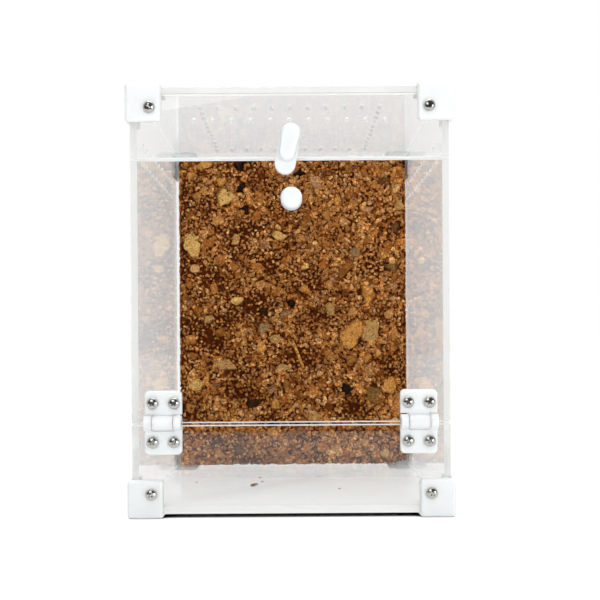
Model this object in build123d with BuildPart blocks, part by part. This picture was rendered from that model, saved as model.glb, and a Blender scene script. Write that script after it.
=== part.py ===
"""A small front-opening terrarium of clear sheet, with white corner brackets and a granulated cork back.

The box stands on its four lower corner brackets. Its front is three panels: a fixed lower panel, a door that
swings out and down on two plastic hinges, and a fixed upper panel that carries a turn latch.
X points right, Y to the back and Z up. The origin is on the floor, in the middle of the overall box.
"""
import os
from math import cos, hypot, radians, sin

from build123d import *

os.makedirs("parts", exist_ok=True)

# Clear sheet box, over the outer faces of its panels
box_width = 150.0
box_depth = 150.0
box_height = 200.0
sheet = 3.0
glue_gap = 0.1

# Front panels, from the bottom up
lower_front_height = 41.4
upper_front_height = 30.1
door_gap_below = 1.2
door_gap_above = 0.7
door_side_gap = 0.1

# Ventilation holes
vent_diameter = 2.0
front_vent_pitch = 9.0
front_vent_count = 11
front_vent_drop = 12.2
top_vent_pitch = 9.0
top_vent_count = 11
top_column_pitch = 9.25
top_column_count = 11
side_vent_pitch = 9.7
side_vent_count = 12
side_vent_drop = 19.5
side_vent_row_gap = 9.0

# White corner brackets
bracket_wall = 1.9
bracket_fit = 0.1
bracket_width = 17.0
bracket_depth = 18.2
bracket_height = 18.2
bracket_edge_radius = 1.7
bracket_screw_inset = 9.5

# Screws with cross-recessed pan heads, their nuts and washers
screw_diameter = 3.0
screw_hole_fit = 0.2
thread_fit = 0.05
screw_length = 8.0
screw_tip_chamfer = 0.4
head_diameter = 5.5
head_height = 2.0
head_rim_height = 0.5
recess_length = 2.7
recess_width = 0.7
recess_depth = 1.2
nut_flats = 5.5
nut_thickness = 2.4
washer_diameter = 7.0
washer_thickness = 0.5

# Plastic hinges
hinge_width = 17.2
hinge_inset = 15.4
hinge_rise = 1.6
leaf_reach = 14.9
leaf_thickness = 2.6
leaf_corner_radius = 2.0
leaf_edge_radius = 0.6
barrel_diameter = 7.0
barrel_clearance = 0.1
barrel_slot_gap = 0.3
middle_knuckle_width = 9.6
knuckle_gap = 0.2
hinge_pin_diameter = 2.5
pin_running_fit = 0.16
pin_held_fit = 0.04
hinge_screw_spacing = 10.0
hinge_screw_reach = 9.05

# Turn latch on the upper front panel
latch_offset = 0.75
latch_rise = 10.3
latch_tilt = 11.5
latch_length = 14.1
latch_width = 9.7
latch_plate_thickness = 3.0
ridge_height = 3.6
ridge_top_radius = 4.6
ridge_end_radius = 3.9
ridge_length = 9.4
ridge_draft = 8.0
ridge_edge_radius = 0.8
latch_plate_edge_radius = 0.5
latch_spacer_diameter = 8.0
latch_spacer_thickness = 0.8
latch_running_gap = 0.1

# Door knob
knob_offset = 0.75
knob_drop = 19.2
knob_diameter = 10.0
knob_projection = 8.5
knob_edge_radius = 1.8
blind_hole_spare = 0.6

# Granulated cork back
cork_thickness = 11.0
cork_left_gap = 1.2
cork_right_gap = 0.2
cork_top_gap = 1.7
cork_back_gap = 0.1
cork_edge_radius = 1.5
nut_pocket_side = 13.5
nut_pocket_depth = 3.8

# Large lumps that stand out of the cork's front: middle from its lower left corner, width, height and turn
cork_lumps = (
    (109.0, 81.5, 15.0, 20.0, -15),
    (121.0, 83.5, 14.0, 15.0, 20),
    (118.5, 106.7, 15.0, 12.5, -35),
    (29.4, 167.7, 14.0, 13.0, 10),
    (9.4, 137.9, 11.0, 14.0, -12),
    (86.0, 176.6, 7.5, 13.0, 28),
    (118.2, 159.8, 12.5, 6.0, 5),
    (135.5, 162.9, 6.5, 7.2, 0),
    (104.0, 122.7, 7.5, 18.0, -28),
    (78.8, 124.0, 6.0, 6.0, 0),
    (63.0, 143.6, 11.5, 7.5, -10),
    (93.9, 98.2, 7.5, 8.5, 15),
    (110.7, 133.4, 8.0, 7.5, 0),
    (51.3, 73.4, 8.0, 8.0, 20),
    (60.2, 78.6, 8.5, 6.0, -15),
    (52.7, 85.6, 8.0, 9.0, 0),
    (60.3, 38.1, 6.5, 8.0, 10),
    (121.4, 44.4, 9.0, 14.5, 12),
    (132.2, 48.2, 9.0, 12.5, -8),
    (10.7, 50.4, 11.0, 10.0, 0),
    (29.3, 62.2, 16.0, 8.0, -8),
    (57.6, 20.9, 8.5, 6.0, -20),
    (128.4, 8.2, 8.0, 7.0, 0),
    (36.2, 102.6, 8.5, 6.0, 12),
    (15.6, 185.5, 10.6, 7.5, -5),
    (26.8, 177.6, 6.5, 6.5, 30),
    (100.3, 165.2, 6.0, 6.8, 0),
    (132.0, 123.9, 12.0, 8.0, -12),
    (63.8, 60.7, 12.0, 6.6, 8),
)
cork_lump_rise = 1.1
cork_lump_root = 0.9
cork_lump_slope = 36
cork_lump_corners = (1.0, 0.86, 0.97, 0.90, 1.05, 0.84)

# Smaller lumps between them, in loose rows
row_lump_step = 14.0
row_lump_margin = 9.0
row_lump_sway = 2.6
row_lump_size = 6.6
row_lump_size_change = 1.2
row_lump_clearance = 4.5

# The overall box is centred on Y, so the body sits back by half of what the knob reaches past the rear screws
foot = bracket_wall + bracket_fit
rear_reach = foot + head_height
body_y = (knob_projection - rear_reach) / 2
front_y = body_y - box_depth / 2
rear_y = body_y + box_depth / 2
inner_front_y = front_y + sheet
inner_rear_y = rear_y - sheet
base_top = foot + sheet
ceiling = foot + box_height - sheet
lower_front_top = foot + lower_front_height
door_bottom = lower_front_top + door_gap_below
upper_front_bottom = ceiling - upper_front_height
door_top = upper_front_bottom - door_gap_above
bracket_screw_x = box_width / 2 - bracket_screw_inset
bracket_screw_heights = (foot + bracket_screw_inset, foot + box_height - bracket_screw_inset)
screw_hole = screw_diameter + screw_hole_fit
thread_bore = screw_diameter + thread_fit
axis_offset = barrel_diameter / 2 + barrel_clearance
hinge_y = front_y - axis_offset
hinge_z = lower_front_top + hinge_rise
hinge_x = box_width / 2 - hinge_inset
latch_z = upper_front_bottom + latch_rise
knob_z = door_top - knob_drop
FRONT, REAR = -1, 1
SIDES = {"left": -1, "right": 1}
HEIGHTS = {"bottom": -1, "top": 1}
DEPTHS = {"front": FRONT, "rear": REAR}
pieces = {}


def facing(x, y, z, back):
    """A plane through a point that looks out of the front (back is -1) or out of the rear (back is 1)."""
    return Plane(origin=(x, y, z), x_dir=(-back, 0, 0), z_dir=(0, back, 0))


def across(x, y, z):
    """A plane through a point that looks to the right, with its own X to the back and its own Y up."""
    return Plane(origin=(x, y, z), x_dir=(0, 1, 0), z_dir=(1, 0, 0))


def place_copies(piece, seats):
    """A group of equal copies of a piece, one on each seat plane."""
    with BuildPart() as group:
        with Locations(*seats):
            add(piece.part)
    return group


def make_washer(seat, diameter, thickness):
    """A flat ring that lies on the seat plane, clear of the screw through it."""
    with BuildPart() as washer:
        with BuildSketch(seat):
            Circle(diameter / 2)
            Circle(screw_hole / 2, mode=Mode.SUBTRACT)
        extrude(amount=thickness)
    return washer


def upright_panel(face_y, back, width, bottom, top, holes):
    """A clear upright panel; holes has (x, z, diameter) of each round hole, and face_y is its outer face."""
    with BuildPart() as panel:
        with BuildSketch(facing(0, face_y, 0, back)):
            with Locations((0, (bottom + top) / 2)):
                Rectangle(width, top - bottom)
            for x, z, diameter in holes:
                with Locations((-back * x, z)):
                    Circle(diameter / 2, mode=Mode.SUBTRACT)
        extrude(amount=-sheet)
    return panel


def spread(pitch, count):
    """Places of a centred row of holes."""
    return [(index - (count - 1) / 2) * pitch for index in range(count)]


def hinge_holes(up):
    """Holes of both hinges' leaves: up is 1 on the door and -1 on the fixed panel below it."""
    return [
        (side * hinge_x + step * hinge_screw_spacing / 2, hinge_z + up * hinge_screw_reach, screw_hole)
        for side in SIDES.values()
        for step in (-1, 1)
    ]


def bracket_holes(level):
    """Holes for the bracket screws along one level: 0 is the lower one and 1 the upper one."""
    return [(side * bracket_screw_x, bracket_screw_heights[level], screw_hole) for side in SIDES.values()]


# One screw, with the underside of its domed head on the XY plane and its shank below
with BuildPart() as screw:
    with BuildSketch(Plane.XZ):
        with BuildLine():
            Polyline(
                (0, head_height),
                (0, -screw_length),
                (screw_diameter / 2 - screw_tip_chamfer, -screw_length),
                (screw_diameter / 2, screw_tip_chamfer - screw_length),
                (screw_diameter / 2, 0),
                (head_diameter / 2, 0),
                (head_diameter / 2, head_rim_height),
            )
            EllipticalCenterArc(
                (0, head_rim_height), head_diameter / 2, head_height - head_rim_height, arc_size=90
            )
        make_face()
    revolve(axis=Axis.Z)
    with BuildSketch(Plane.XY.offset(head_height)):
        Rectangle(recess_length, recess_width, rotation=45)
        Rectangle(recess_width, recess_length, rotation=45)
    extrude(amount=-recess_depth, mode=Mode.SUBTRACT)

# One hexagon nut, standing on the XY plane
with BuildPart() as nut:
    with BuildSketch():
        RegularPolygon(nut_flats / 2, 6, major_radius=False)
        Circle(thread_bore / 2, mode=Mode.SUBTRACT)
    extrude(amount=nut_thickness)

# Base and top panels
with BuildPart() as base_panel:
    with BuildSketch(Plane(origin=(0, body_y, foot))):
        Rectangle(box_width, box_depth)
    extrude(amount=sheet)
pieces["base_panel"] = base_panel

top_rows = [(x, side * spread(top_column_pitch, top_column_count)[-1])
            for x in spread(top_vent_pitch, top_vent_count) for side in (-1, 1)]
top_columns = [(side * spread(top_vent_pitch, top_vent_count)[-1], y)
               for y in spread(top_column_pitch, top_column_count)[1:-1] for side in (-1, 1)]
with BuildPart() as top_panel:
    with BuildSketch(Plane(origin=(0, body_y, ceiling))):
        Rectangle(box_width, box_depth)
        with Locations(*top_rows, *top_columns):
            Circle(vent_diameter / 2, mode=Mode.SUBTRACT)
    extrude(amount=sheet)
pieces["top_panel"] = top_panel

# Side panels stand between the front and the rear ones
side_panel_depth = box_depth - 2 * (sheet + glue_gap)
for side_name, side in SIDES.items():
    with BuildPart() as side_panel:
        with BuildSketch(across(side * (box_width - sheet) / 2 - sheet / 2, body_y, 0)):
            with Locations((0, (base_top + ceiling) / 2)):
                Rectangle(side_panel_depth, ceiling - base_top - 2 * glue_gap)
            for row in range(2):
                with Locations((0, ceiling - side_vent_drop - row * side_vent_row_gap)):
                    with GridLocations(side_vent_pitch, side_vent_pitch, side_vent_count, 1):
                        Circle(vent_diameter / 2, mode=Mode.SUBTRACT)
        extrude(amount=sheet)
    pieces[f"{side_name}_side_panel"] = side_panel

# Rear panel and the three front panels
pieces["rear_panel"] = upright_panel(
    rear_y, REAR, box_width, base_top + glue_gap, ceiling - glue_gap, bracket_holes(0) + bracket_holes(1)
)
pieces["lower_front_panel"] = upright_panel(
    front_y, FRONT, box_width, base_top + glue_gap, lower_front_top, bracket_holes(0) + hinge_holes(-1)
)
front_vents = [
    (x, ceiling - front_vent_drop, vent_diameter) for x in spread(front_vent_pitch, front_vent_count)
]
pieces["upper_front_panel"] = upright_panel(
    front_y,
    FRONT,
    box_width,
    upper_front_bottom,
    ceiling - glue_gap,
    front_vents + bracket_holes(1) + [(latch_offset, latch_z, screw_hole)],
)
pieces["door_panel"] = upright_panel(
    front_y,
    FRONT,
    box_width - 2 * door_side_gap,
    door_bottom,
    door_top,
    hinge_holes(1) + [(knob_offset, knob_z, screw_hole)],
)


def make_bracket(side, back, up):
    """A corner bracket: three walls around one corner of the box, the front or rear one with a screw hole."""
    corner = (
        side * (box_width / 2 + foot - bracket_width / 2),
        body_y + back * (box_depth / 2 + foot - bracket_depth / 2),
        foot + box_height / 2 + up * (box_height / 2 + foot - bracket_height / 2),
    )
    wall_y = body_y + back * (box_depth / 2 + foot)
    level = bracket_screw_heights[(up + 1) // 2]
    with BuildPart() as bracket:
        with Locations(corner):
            Box(bracket_width, bracket_depth, bracket_height)
        fillet(bracket.edges(), min(bracket_edge_radius, 0.9 * bracket_wall))
        with Locations((0, body_y, foot + box_height / 2)):
            Box(
                box_width + 2 * bracket_fit,
                box_depth + 2 * bracket_fit,
                box_height + 2 * bracket_fit,
                mode=Mode.SUBTRACT,
            )
        with BuildSketch(facing(side * bracket_screw_x, wall_y, level, back)):
            Circle(screw_hole / 2)
        extrude(amount=-bracket_wall, mode=Mode.SUBTRACT)
    return bracket


for depth_name, back in DEPTHS.items():
    for height_name, up in HEIGHTS.items():
        for side_name, side in SIDES.items():
            pieces[f"bracket_{depth_name}_{height_name}_{side_name}"] = make_bracket(side, back, up)

# One screw and one nut hold each bracket to the front or the rear panel
for depth_name, back in DEPTHS.items():
    head_y = body_y + back * (box_depth / 2 + foot)
    nut_y = body_y + back * (box_depth / 2 - sheet)
    spots = [(side * bracket_screw_x, z) for side in SIDES.values() for z in bracket_screw_heights]
    pieces[f"{depth_name}_bracket_screws"] = place_copies(
        screw, [facing(x, head_y, z, back) for x, z in spots]
    )
    pieces[f"{depth_name}_bracket_nuts"] = place_copies(nut, [facing(x, nut_y, z, -back) for x, z in spots])


def make_leaf(x, up, knuckles):
    """A hinge leaf on the front face: up is 1 on the door; knuckles has (start, width) from the middle."""
    slot = barrel_diameter / 2 + barrel_slot_gap
    web = leaf_thickness - barrel_clearance
    with BuildPart() as leaf:
        with BuildSketch(facing(x, front_y, hinge_z, FRONT)):
            with Locations((0, up * (slot + leaf_reach) / 2)):
                plate = Rectangle(hinge_width, leaf_reach - slot)
            free_corners = plate.vertices().sort_by(Axis.Y)[::up][-2:]
            fillet(free_corners, leaf_corner_radius)
        extrude(amount=leaf_thickness)
        outer_face = leaf.faces().sort_by(Axis.Y)[0]
        fillet(outer_face.edges(), leaf_edge_radius)
        for start, width in knuckles:
            with BuildSketch(across(x + start, hinge_y, hinge_z)):
                Circle(barrel_diameter / 2)
                with Locations(((barrel_diameter - web) / 2, up * (slot + leaf_edge_radius) / 2)):
                    Rectangle(web, slot + leaf_edge_radius)
            extrude(amount=width)
        bore = hinge_pin_diameter + (pin_running_fit if up == 1 else pin_held_fit)
        with BuildSketch(across(x - hinge_width / 2, hinge_y, hinge_z)):
            Circle(bore / 2)
        extrude(amount=hinge_width, mode=Mode.SUBTRACT)
        with BuildSketch(facing(x, front_y - leaf_thickness, hinge_z + up * hinge_screw_reach, FRONT)):
            with GridLocations(hinge_screw_spacing, hinge_screw_spacing, 2, 1):
                Circle(screw_hole / 2)
        extrude(amount=-leaf_thickness, mode=Mode.SUBTRACT)
    return leaf


outer_knuckle_width = (hinge_width - middle_knuckle_width) / 2 - knuckle_gap
for side_name, side in SIDES.items():
    x = side * hinge_x
    pieces[f"{side_name}_hinge_door_leaf"] = make_leaf(
        x, 1, [(-middle_knuckle_width / 2, middle_knuckle_width)]
    )
    pieces[f"{side_name}_hinge_fixed_leaf"] = make_leaf(
        x,
        -1,
        [
            (-hinge_width / 2, outer_knuckle_width),
            (hinge_width / 2 - outer_knuckle_width, outer_knuckle_width),
        ],
    )
    with BuildPart() as hinge_pin:
        with BuildSketch(across(x - hinge_width / 2, hinge_y, hinge_z)):
            Circle(hinge_pin_diameter / 2)
        extrude(amount=hinge_width)
    pieces[f"{side_name}_hinge_pin"] = hinge_pin

# Four screws and nuts hold the leaves to the door, and four hold them to the lower panel
for owner, up in (("door", 1), ("fixed", -1)):
    spots = [(x, z) for x, z, diameter in hinge_holes(up)]
    pieces[f"{owner}_hinge_screws"] = place_copies(
        screw, [facing(x, front_y - leaf_thickness, z, FRONT) for x, z in spots]
    )
    pieces[f"{owner}_hinge_nuts"] = place_copies(nut, [facing(x, inner_front_y, z, REAR) for x, z in spots])

# The latch turns with its screw, which comes through the panel from inside
lever_y = front_y - latch_spacer_thickness - latch_running_gap
tilt = radians(latch_tilt)
lever_plane = Plane(
    origin=(latch_offset, lever_y, latch_z), x_dir=(cos(tilt), 0, -sin(tilt)), z_dir=(0, FRONT, 0)
)
latch_screw_y = inner_front_y + washer_thickness + latch_running_gap
latch_screw_into_lever = screw_length - (latch_screw_y - lever_y)
with BuildPart() as latch_lever:
    with BuildSketch(lever_plane):
        with Locations((0, -latch_length / 2)):
            SlotCenterToCenter(latch_length, latch_width, rotation=90)
    extrude(amount=latch_plate_thickness)
    fillet(latch_lever.faces().sort_by(Axis.Y)[0].edges(), latch_plate_edge_radius)
    with BuildSketch(lever_plane.offset(latch_plate_thickness)):
        Circle(ridge_top_radius)
        with Locations((0, -ridge_length)):
            Circle(ridge_end_radius)
        make_hull()
    extrude(amount=ridge_height, taper=ridge_draft)
    fillet(latch_lever.faces().sort_by(Axis.Y)[0].edges(), ridge_edge_radius)
    with BuildSketch(lever_plane):
        Circle(thread_bore / 2)
    extrude(amount=latch_screw_into_lever + blind_hole_spare, mode=Mode.SUBTRACT)
pieces["latch_lever"] = latch_lever
pieces["latch_spacer"] = make_washer(
    facing(latch_offset, front_y, latch_z, FRONT), latch_spacer_diameter, latch_spacer_thickness
)
pieces["latch_washer"] = make_washer(
    facing(latch_offset, inner_front_y, latch_z, REAR), washer_diameter, washer_thickness
)
pieces["latch_screw"] = place_copies(screw, [facing(latch_offset, latch_screw_y, latch_z, REAR)])

# The knob is held by one screw from the inner face of the door
knob_screw_y = inner_front_y + washer_thickness
knob_screw_into_knob = screw_length - (knob_screw_y - front_y)
with BuildPart() as door_knob:
    with BuildSketch(facing(knob_offset, front_y, knob_z, FRONT)):
        Circle(knob_diameter / 2)
    extrude(amount=knob_projection)
    fillet(door_knob.faces().sort_by(Axis.Y)[0].edges(), knob_edge_radius)
    with BuildSketch(facing(knob_offset, front_y, knob_z, FRONT)):
        Circle(thread_bore / 2)
    extrude(amount=knob_screw_into_knob + blind_hole_spare, mode=Mode.SUBTRACT)
pieces["door_knob"] = door_knob
pieces["knob_washer"] = make_washer(
    facing(knob_offset, inner_front_y, knob_z, REAR), washer_diameter, washer_thickness
)
pieces["knob_screw"] = place_copies(screw, [facing(knob_offset, knob_screw_y, knob_z, REAR)])


def row_lumps(wide, high):
    """Lumps in loose rows over a wide by high face, left out where one of the large lumps stands."""
    lumps = []
    columns = round((wide - 2 * row_lump_margin) / row_lump_step)
    rows = round((high - 2 * row_lump_margin) / row_lump_step)
    for row in range(rows + 1):
        for column in range(columns + 1):
            x = row_lump_margin + (wide - 2 * row_lump_margin) * column / columns
            z = row_lump_margin + (high - 2 * row_lump_margin) * row / rows
            x += row_lump_sway * sin(2.4 * row + 1.7 * column)
            z += row_lump_sway * cos(1.9 * row - 2.3 * column)
            lump_wide = row_lump_size + row_lump_size_change * sin(3.1 * row + 1.3 * column)
            lump_high = row_lump_size + row_lump_size_change * cos(2.2 * row + 2.9 * column)
            crowded = any(
                hypot(x - lump[0], z - lump[1]) < max(lump[2], lump[3]) / 2 + row_lump_clearance
                for lump in cork_lumps
            )
            if not crowded:
                lumps.append((x, z, lump_wide, lump_high, 37 * (row + 3 * column) % 180))
    return lumps


def make_lump(seat, wide, high, turn):
    """A six-sided lump with sloped sides, rooted behind its seat plane."""
    corners = []
    for number, reach in enumerate(cork_lump_corners):
        angle = radians(60 * number)
        corners.append((reach * wide / 2 * cos(angle), reach * high / 2 * sin(angle)))
    with BuildPart() as lump:
        with BuildSketch(seat.offset(-cork_lump_root)):
            Polygon(*corners, rotation=turn, align=None)
        extrude(amount=cork_lump_root + cork_lump_rise, taper=cork_lump_slope)
    return lump


# The cork stands on the base panel against the rear one, its rear corners cut back around the bracket nuts
cork_left = sheet - box_width / 2 + cork_left_gap
cork_right = box_width / 2 - sheet - cork_right_gap
cork_bottom = base_top + glue_gap
cork_top = ceiling - cork_top_gap
cork_back_y = inner_rear_y - cork_back_gap
with BuildPart() as cork_back:
    with BuildSketch(facing(0, cork_back_y, 0, FRONT)):
        with Locations(((cork_left + cork_right) / 2, (cork_bottom + cork_top) / 2)):
            Rectangle(cork_right - cork_left, cork_top - cork_bottom)
    extrude(amount=cork_thickness)
    fillet(cork_back.faces().sort_by(Axis.Y)[0].edges(), cork_edge_radius)
    with BuildSketch(facing(0, inner_rear_y, 0, FRONT)):
        pocket_x = box_width / 2 - sheet - nut_pocket_side / 2
        for side in SIDES.values():
            for pocket_z in (base_top + nut_pocket_side / 2, ceiling - nut_pocket_side / 2):
                with Locations((side * pocket_x, pocket_z)):
                    Rectangle(nut_pocket_side, nut_pocket_side)
    extrude(amount=nut_pocket_depth, mode=Mode.SUBTRACT)
    cork_front_y = cork_back_y - cork_thickness
    for x, z, wide, high, turn in [*cork_lumps, *row_lumps(cork_right - cork_left, cork_top - cork_bottom)]:
        add(make_lump(facing(cork_left + x, cork_front_y, cork_bottom + z, FRONT), wide, high, turn).part)
pieces["cork_back"] = cork_back

for name, piece in pieces.items():
    piece.part.label = name
    export_step(piece.part, f"parts/{name}.step")
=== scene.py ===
"""Looks of the front-opening terrarium: clear sheets, white fittings, steel screws and granulated cork.

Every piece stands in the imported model's frame, in metres: X to the right, Y to the back and Z up.
The panels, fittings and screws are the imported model's own pieces with better finishes. The cork is built
here, chip by chip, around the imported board.
"""

import logging
import math
from dataclasses import dataclass, replace
from enum import Enum
from functools import cached_property
from typing import Iterable

import bpy
import numpy as np
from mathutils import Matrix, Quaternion, Vector


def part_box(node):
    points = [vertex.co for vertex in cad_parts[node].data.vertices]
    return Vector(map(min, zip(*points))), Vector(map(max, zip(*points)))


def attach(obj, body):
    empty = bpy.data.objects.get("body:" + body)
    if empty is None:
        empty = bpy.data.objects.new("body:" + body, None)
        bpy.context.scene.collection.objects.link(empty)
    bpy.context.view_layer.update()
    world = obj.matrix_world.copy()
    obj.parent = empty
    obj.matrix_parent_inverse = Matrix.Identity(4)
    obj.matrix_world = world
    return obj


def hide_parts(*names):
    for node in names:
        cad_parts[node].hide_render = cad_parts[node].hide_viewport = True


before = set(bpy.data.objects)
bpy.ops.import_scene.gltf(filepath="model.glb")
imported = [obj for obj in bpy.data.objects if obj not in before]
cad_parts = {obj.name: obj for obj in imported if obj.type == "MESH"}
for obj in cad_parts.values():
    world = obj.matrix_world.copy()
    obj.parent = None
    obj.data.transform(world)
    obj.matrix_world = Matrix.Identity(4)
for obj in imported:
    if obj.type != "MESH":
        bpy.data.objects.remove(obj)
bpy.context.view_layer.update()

LOG = logging.getLogger("terrarium")
MM = 0.001
PLANE_DISTANCES = (0.28, 0.56)
LEAST_COSINE = 0.2
LARGEST_REACH = 0.60
NOISE_RANGE = (0.3, 0.7)

Colour = tuple[float, float, float]
Place = tuple[float, float, float]
Span = tuple[float, float]
Socket = bpy.types.NodeSocket


class NodeGraph:
    """One node tree, with short calls for the nodes that the finishes share."""

    def __init__(self, tree: bpy.types.NodeTree) -> None:
        """Keeps the tree and empties it."""
        self.tree = tree
        tree.nodes.clear()

    def add(self, kind: str, inputs: dict | None = None, **options: object) -> bpy.types.Node:
        """Adds one node.

        Args:
            kind: the node's type name.
            inputs: values or sockets to feed in, by the input's name or number.
            options: the node's own settings, such as operation="MULTIPLY".

        Returns:
            The new node.
        """
        node = self.tree.nodes.new(kind)
        for name, value in options.items():
            setattr(node, name, value)
        for name, value in (inputs or {}).items():
            if isinstance(value, Socket):
                self.tree.links.new(value, node.inputs[name])
            else:
                node.inputs[name].default_value = value
        return node

    def place(self) -> Socket:
        """Gives the piece's own coordinates, in metres."""
        return self.add("ShaderNodeTexCoord").outputs["Object"]

    def normal(self) -> Socket:
        """Gives the surface's normal, in the piece's own coordinates."""
        return self.add("ShaderNodeTexCoord").outputs["Normal"]

    def trait(self, name: str, output: str = "Fac") -> Socket:
        """Gives a value or colour that the piece's points carry."""
        return self.add("ShaderNodeAttribute", attribute_name=name).outputs[output]

    def parts(self, vector: object) -> bpy.types.NodeOutputs:
        """Gives a vector's three numbers, by the names X, Y and Z."""
        return self.add("ShaderNodeSeparateXYZ", {0: vector}).outputs

    def rays(self) -> bpy.types.NodeOutputs:
        """Gives the kinds and depths of the rays that meet the surface, by name."""
        return self.add("ShaderNodeLightPath").outputs

    def bent(self, rays: bpy.types.NodeOutputs) -> Socket:
        """Tells the rays that come by way of gloss or through a sheet."""
        return self.math("MAXIMUM", rays["Is Glossy Ray"], rays["Is Transmission Ray"])

    def math(self, operation: str, first: object, second: object = 0.0) -> Socket:
        """Gives a sum, product or the like of two values."""
        return self.add("ShaderNodeMath", {0: first, 1: second}, operation=operation).outputs[0]

    def vector(self, operation: str, first: object, second: object = (0.0, 0.0, 0.0)) -> Socket:
        """Gives a sum, product or the like of two vectors."""
        return self.add("ShaderNodeVectorMath", {0: first, 1: second}, operation=operation).outputs[0]

    def scaled(self, vector: object, factor: object) -> Socket:
        """Gives a vector or colour times one value."""
        return self.add("ShaderNodeVectorMath", {0: vector, "Scale": factor}, operation="SCALE").outputs[0]

    def noise(self, vector: object, scale: float, detail: float = 3.0, roughness: float = 0.55) -> Socket:
        """Gives a cloudy value from 0 to 1 that repeats about scale times a metre."""
        values = {"Vector": vector, "Scale": scale, "Detail": detail, "Roughness": roughness}
        return self.add("ShaderNodeTexNoise", values).outputs["Fac"]

    def stretched(self, vector: object, scale: Place, turn: Place = (0.0, 0.0, 0.0)) -> Socket:
        """Gives the coordinates turned, then scaled by another factor along each axis."""
        values = {"Vector": vector, "Scale": scale, "Rotation": turn}
        return self.add("ShaderNodeMapping", values).outputs["Vector"]

    def span(self, value: object, old: Span, new: Span) -> Socket:
        """Gives the value moved from one range to another and held inside it."""
        values = {"Value": value, "From Min": old[0], "From Max": old[1], "To Min": new[0], "To Max": new[1]}
        return self.add("ShaderNodeMapRange", values).outputs["Result"]

    def blend(self, factor: object, first: object, second: object, how: str = "MIX") -> Socket:
        """Gives two colours mixed by a factor.

        Args:
            factor: the share of the second colour.
            first: the first colour, as a socket or three numbers.
            second: the second colour, as a socket or three numbers.
            how: the way to mix, such as "MULTIPLY".

        Returns:
            The mixed colour.
        """
        first, second = (c if isinstance(c, Socket) else (*c, 1.0) for c in (first, second))
        node = self.add("ShaderNodeMix", {0: factor, 6: first, 7: second}, data_type="RGBA", blend_type=how)
        return node.outputs[2]

    def bump(self, height: object, strength: float, distance: float) -> Socket:
        """Gives the normal of a surface with small relief, whose full height is the distance in metres."""
        values = {"Height": height, "Strength": strength, "Distance": distance}
        return self.add("ShaderNodeBump", values).outputs["Normal"]

    def mix_shaders(self, factor: object, first: object, second: object) -> Socket:
        """Gives two shaders mixed by a factor, the share of the second."""
        return self.add("ShaderNodeMixShader", {0: factor, 1: first, 2: second}).outputs[0]

    def output(self, shader: Socket, kind: str = "ShaderNodeOutputMaterial") -> None:
        """Sends a shader to the tree's output."""
        self.add(kind, {"Surface": shader})


@dataclass(frozen=True)
class Finish:
    """A finish: the name of its material and the shader that gives its look."""

    name: str = "finish"

    def shader(self, graph: NodeGraph) -> Socket:
        """Builds the finish's nodes and gives its shader."""
        raise NotImplementedError

    def material(self) -> bpy.types.Material:
        """Gives the finish's material, made on its first use."""
        found = bpy.data.materials.get(self.name)
        if found:
            return found
        made = bpy.data.materials.new(self.name)
        made.use_nodes = True
        graph = NodeGraph(made.node_tree)
        graph.output(self.shader(graph))
        return made


class Across(Enum):
    """The axis that runs through a sheet's thickness."""

    WIDTH = (1.0, 0.0, 0.0)
    DEPTH = (0.0, 1.0, 0.0)
    HEIGHT = (0.0, 0.0, 1.0)


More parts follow.
